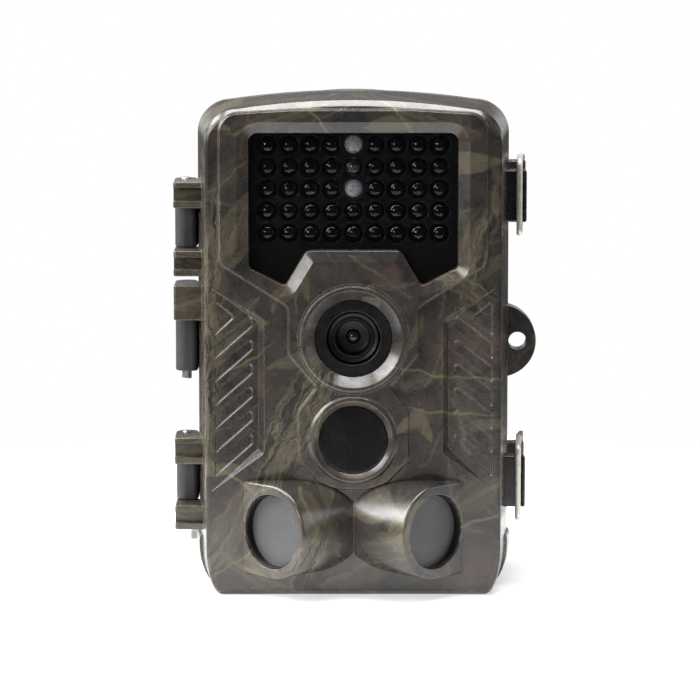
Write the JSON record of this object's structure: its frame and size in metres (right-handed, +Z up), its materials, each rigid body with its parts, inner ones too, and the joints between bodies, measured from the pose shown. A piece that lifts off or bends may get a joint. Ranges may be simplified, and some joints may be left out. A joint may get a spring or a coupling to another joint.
{
  "type": "trail camera",
  "caption": "Camouflaged trail camera: hinged case with infrared flash window, lens, motion sensor windows, wire draw latches, padlock ear, tree bracket and battery tray.",
  "frame": {"origin": "on the flat base, at the lens axis and half way between the sensor hood crest and the tree bracket", "axes": "+Z up, -Y out of the lens side, +X towards the latches"},
  "size_m": [0.0986, 0.0757, 0.135],
  "materials": {
    "camo_plastic": "satin film-printed leaf and bark camouflage",
    "black_plastic": "fine-grained matt black",
    "gasket_rubber": "soft black seal",
    "grey_rubber": "light grey rubber",
    "smoked_window": "polished infrared-pass acrylic",
    "polished_steel": "polished wire and plated sheet",
    "brass": "turned and knurled",
    "circuit_board": "green solder mask",
    "sensor_diffuser": "satin grey lens sheet with fine rings",
    "lens_glass": "coated optical glass",
    "key_rubber": "soft dark grey keys"
  },
  "bodies": {
    "rear_half": {"rear_shell": "camo_plastic", "tree_bracket": "black_plastic", "upper_bracket_screw": "polished_steel", "lower_bracket_screw": "polished_steel", "case_gasket": "gasket_rubber", "battery_tray": "black_plastic", "battery_spring_1": "polished_steel", "battery_spring_2": "polished_steel", "battery_spring_3": "polished_steel", "battery_spring_4": "polished_steel", "battery_contact_1": "polished_steel", "battery_contact_2": "polished_steel", "battery_contact_3": "polished_steel", "battery_contact_4": "polished_steel", "upper_hinge_barrel": "black_plastic", "middle_hinge_barrel": "black_plastic", "lower_hinge_barrel": "black_plastic", "upper_latch_pin": "polished_steel", "lower_latch_pin": "polished_steel", "power_socket": "black_plastic", "tripod_insert": "brass"},
    "front_half": {"front_shell": "camo_plastic", "side_sensor_hood": "camo_plastic", "left_sensor_window": "sensor_diffuser", "right_sensor_window": "sensor_diffuser", "left_sensor": "polished_steel", "right_sensor": "polished_steel", "flash_window": "smoked_window", "flash_mask": "black_plastic", "infrared_flash_board": "circuit_board", "upper_indicator_lamp": "lens_glass", "light_sensor": "sensor_diffuser", "lower_indicator_lamp": "lens_glass", "lens_hood": "black_plastic", "lens_barrel": "black_plastic", "lens_glass": "lens_glass", "lens_holder": "black_plastic", "centre_sensor_window": "black_plastic", "centre_sensor": "polished_steel", "main_board": "circuit_board", "display": "smoked_window", "inner_cover": "black_plastic", "usb_socket": "polished_steel", "card_slot": "polished_steel", "upper_hinge_pin": "polished_steel", "middle_hinge_pin": "polished_steel", "lower_hinge_pin": "polished_steel"},
    "upper_lever": {"upper_latch_lever": "camo_plastic"},
    "upper_wire": {"upper_latch_wire": "polished_steel"},
    "lower_lever": {"lower_latch_lever": "camo_plastic"},
    "lower_wire": {"lower_latch_wire": "polished_steel"},
    "menu_key": {"menu_button": "key_rubber"},
    "left_key": {"left_button": "key_rubber"},
    "ok_key": {"ok_button": "key_rubber"},
    "right_key": {"right_button": "key_rubber"},
    "up_key": {"up_button": "key_rubber"},
    "down_key": {"down_button": "key_rubber"},
    "mode_slider": {"mode_switch": "key_rubber"},
    "cut_filter": {"infrared_cut_filter": "lens_glass"},
    "socket_plug": {"power_socket_plug": "grey_rubber"}
  },
  "joints": [
    {"name": "case_hinge", "type": "hinge", "parent": "rear_half", "child": "front_half", "pos_m": [-0.0457, 0.0024, 0.0675], "axis": [0, 0, -1], "range_deg": [0, 165]},
    {"name": "upper_latch", "type": "hinge", "parent": "rear_half", "child": "upper_lever", "pos_m": [0.0428, 0.012, 0.1067], "axis": [0, 0, -1], "range_deg": [0, 80]},
    {"name": "upper_latch_wire_swing", "type": "hinge", "parent": "upper_lever", "child": "upper_wire", "pos_m": [0.046, 0.012, 0.1067], "axis": [0, 0, -1], "range_deg": [-104, 0]},
    {"name": "lower_latch", "type": "hinge", "parent": "rear_half", "child": "lower_lever", "pos_m": [0.0428, 0.012, 0.0283], "axis": [0, 0, -1], "range_deg": [0, 80]},
    {"name": "lower_latch_wire_swing", "type": "hinge", "parent": "lower_lever", "child": "lower_wire", "pos_m": [0.046, 0.012, 0.0283], "axis": [0, 0, -1], "range_deg": [-104, 0]},
    {"name": "menu_key_press", "type": "slide", "parent": "front_half", "child": "menu_key", "axis": [0, -1, 0], "range_m": [0, 0.0007], "stiffness_N_per_m": 200},
    {"name": "left_key_press", "type": "slide", "parent": "front_half", "child": "left_key", "axis": [0, -1, 0], "range_m": [0, 0.0007], "stiffness_N_per_m": 200},
    {"name": "ok_key_press", "type": "slide", "parent": "front_half", "child": "ok_key", "axis": [0, -1, 0], "range_m": [0, 0.0007], "stiffness_N_per_m": 200},
    {"name": "right_key_press", "type": "slide", "parent": "front_half", "child": "right_key", "axis": [0, -1, 0], "range_m": [0, 0.0007], "stiffness_N_per_m": 200},
    {"name": "up_key_press", "type": "slide", "parent": "front_half", "child": "up_key", "axis": [0, -1, 0], "range_m": [0, 0.0007], "stiffness_N_per_m": 200},
    {"name": "down_key_press", "type": "slide", "parent": "front_half", "child": "down_key", "axis": [0, -1, 0], "range_m": [0, 0.0007], "stiffness_N_per_m": 200},
    {"name": "mode_slide", "type": "slide", "parent": "front_half", "child": "mode_slider", "axis": [0, 0, 1], "range_m": [0, 0.006]},
    {"name": "cut_filter_slide", "type": "slide", "parent": "front_half", "child": "cut_filter", "axis": [1, 0, 0], "range_m": [0, 0.006]},
    {"name": "socket_plug_pull", "type": "slide", "parent": "rear_half", "child": "socket_plug", "axis": [-1, 0, 0], "range_m": [0, 0.0045]}
  ],
  "couplings": [
    {"joint": "upper_latch_wire_swing", "follows": "upper_latch", "ratio": -1.25},
    {"joint": "lower_latch_wire_swing", "follows": "lower_latch", "ratio": -1.25}
  ]
}
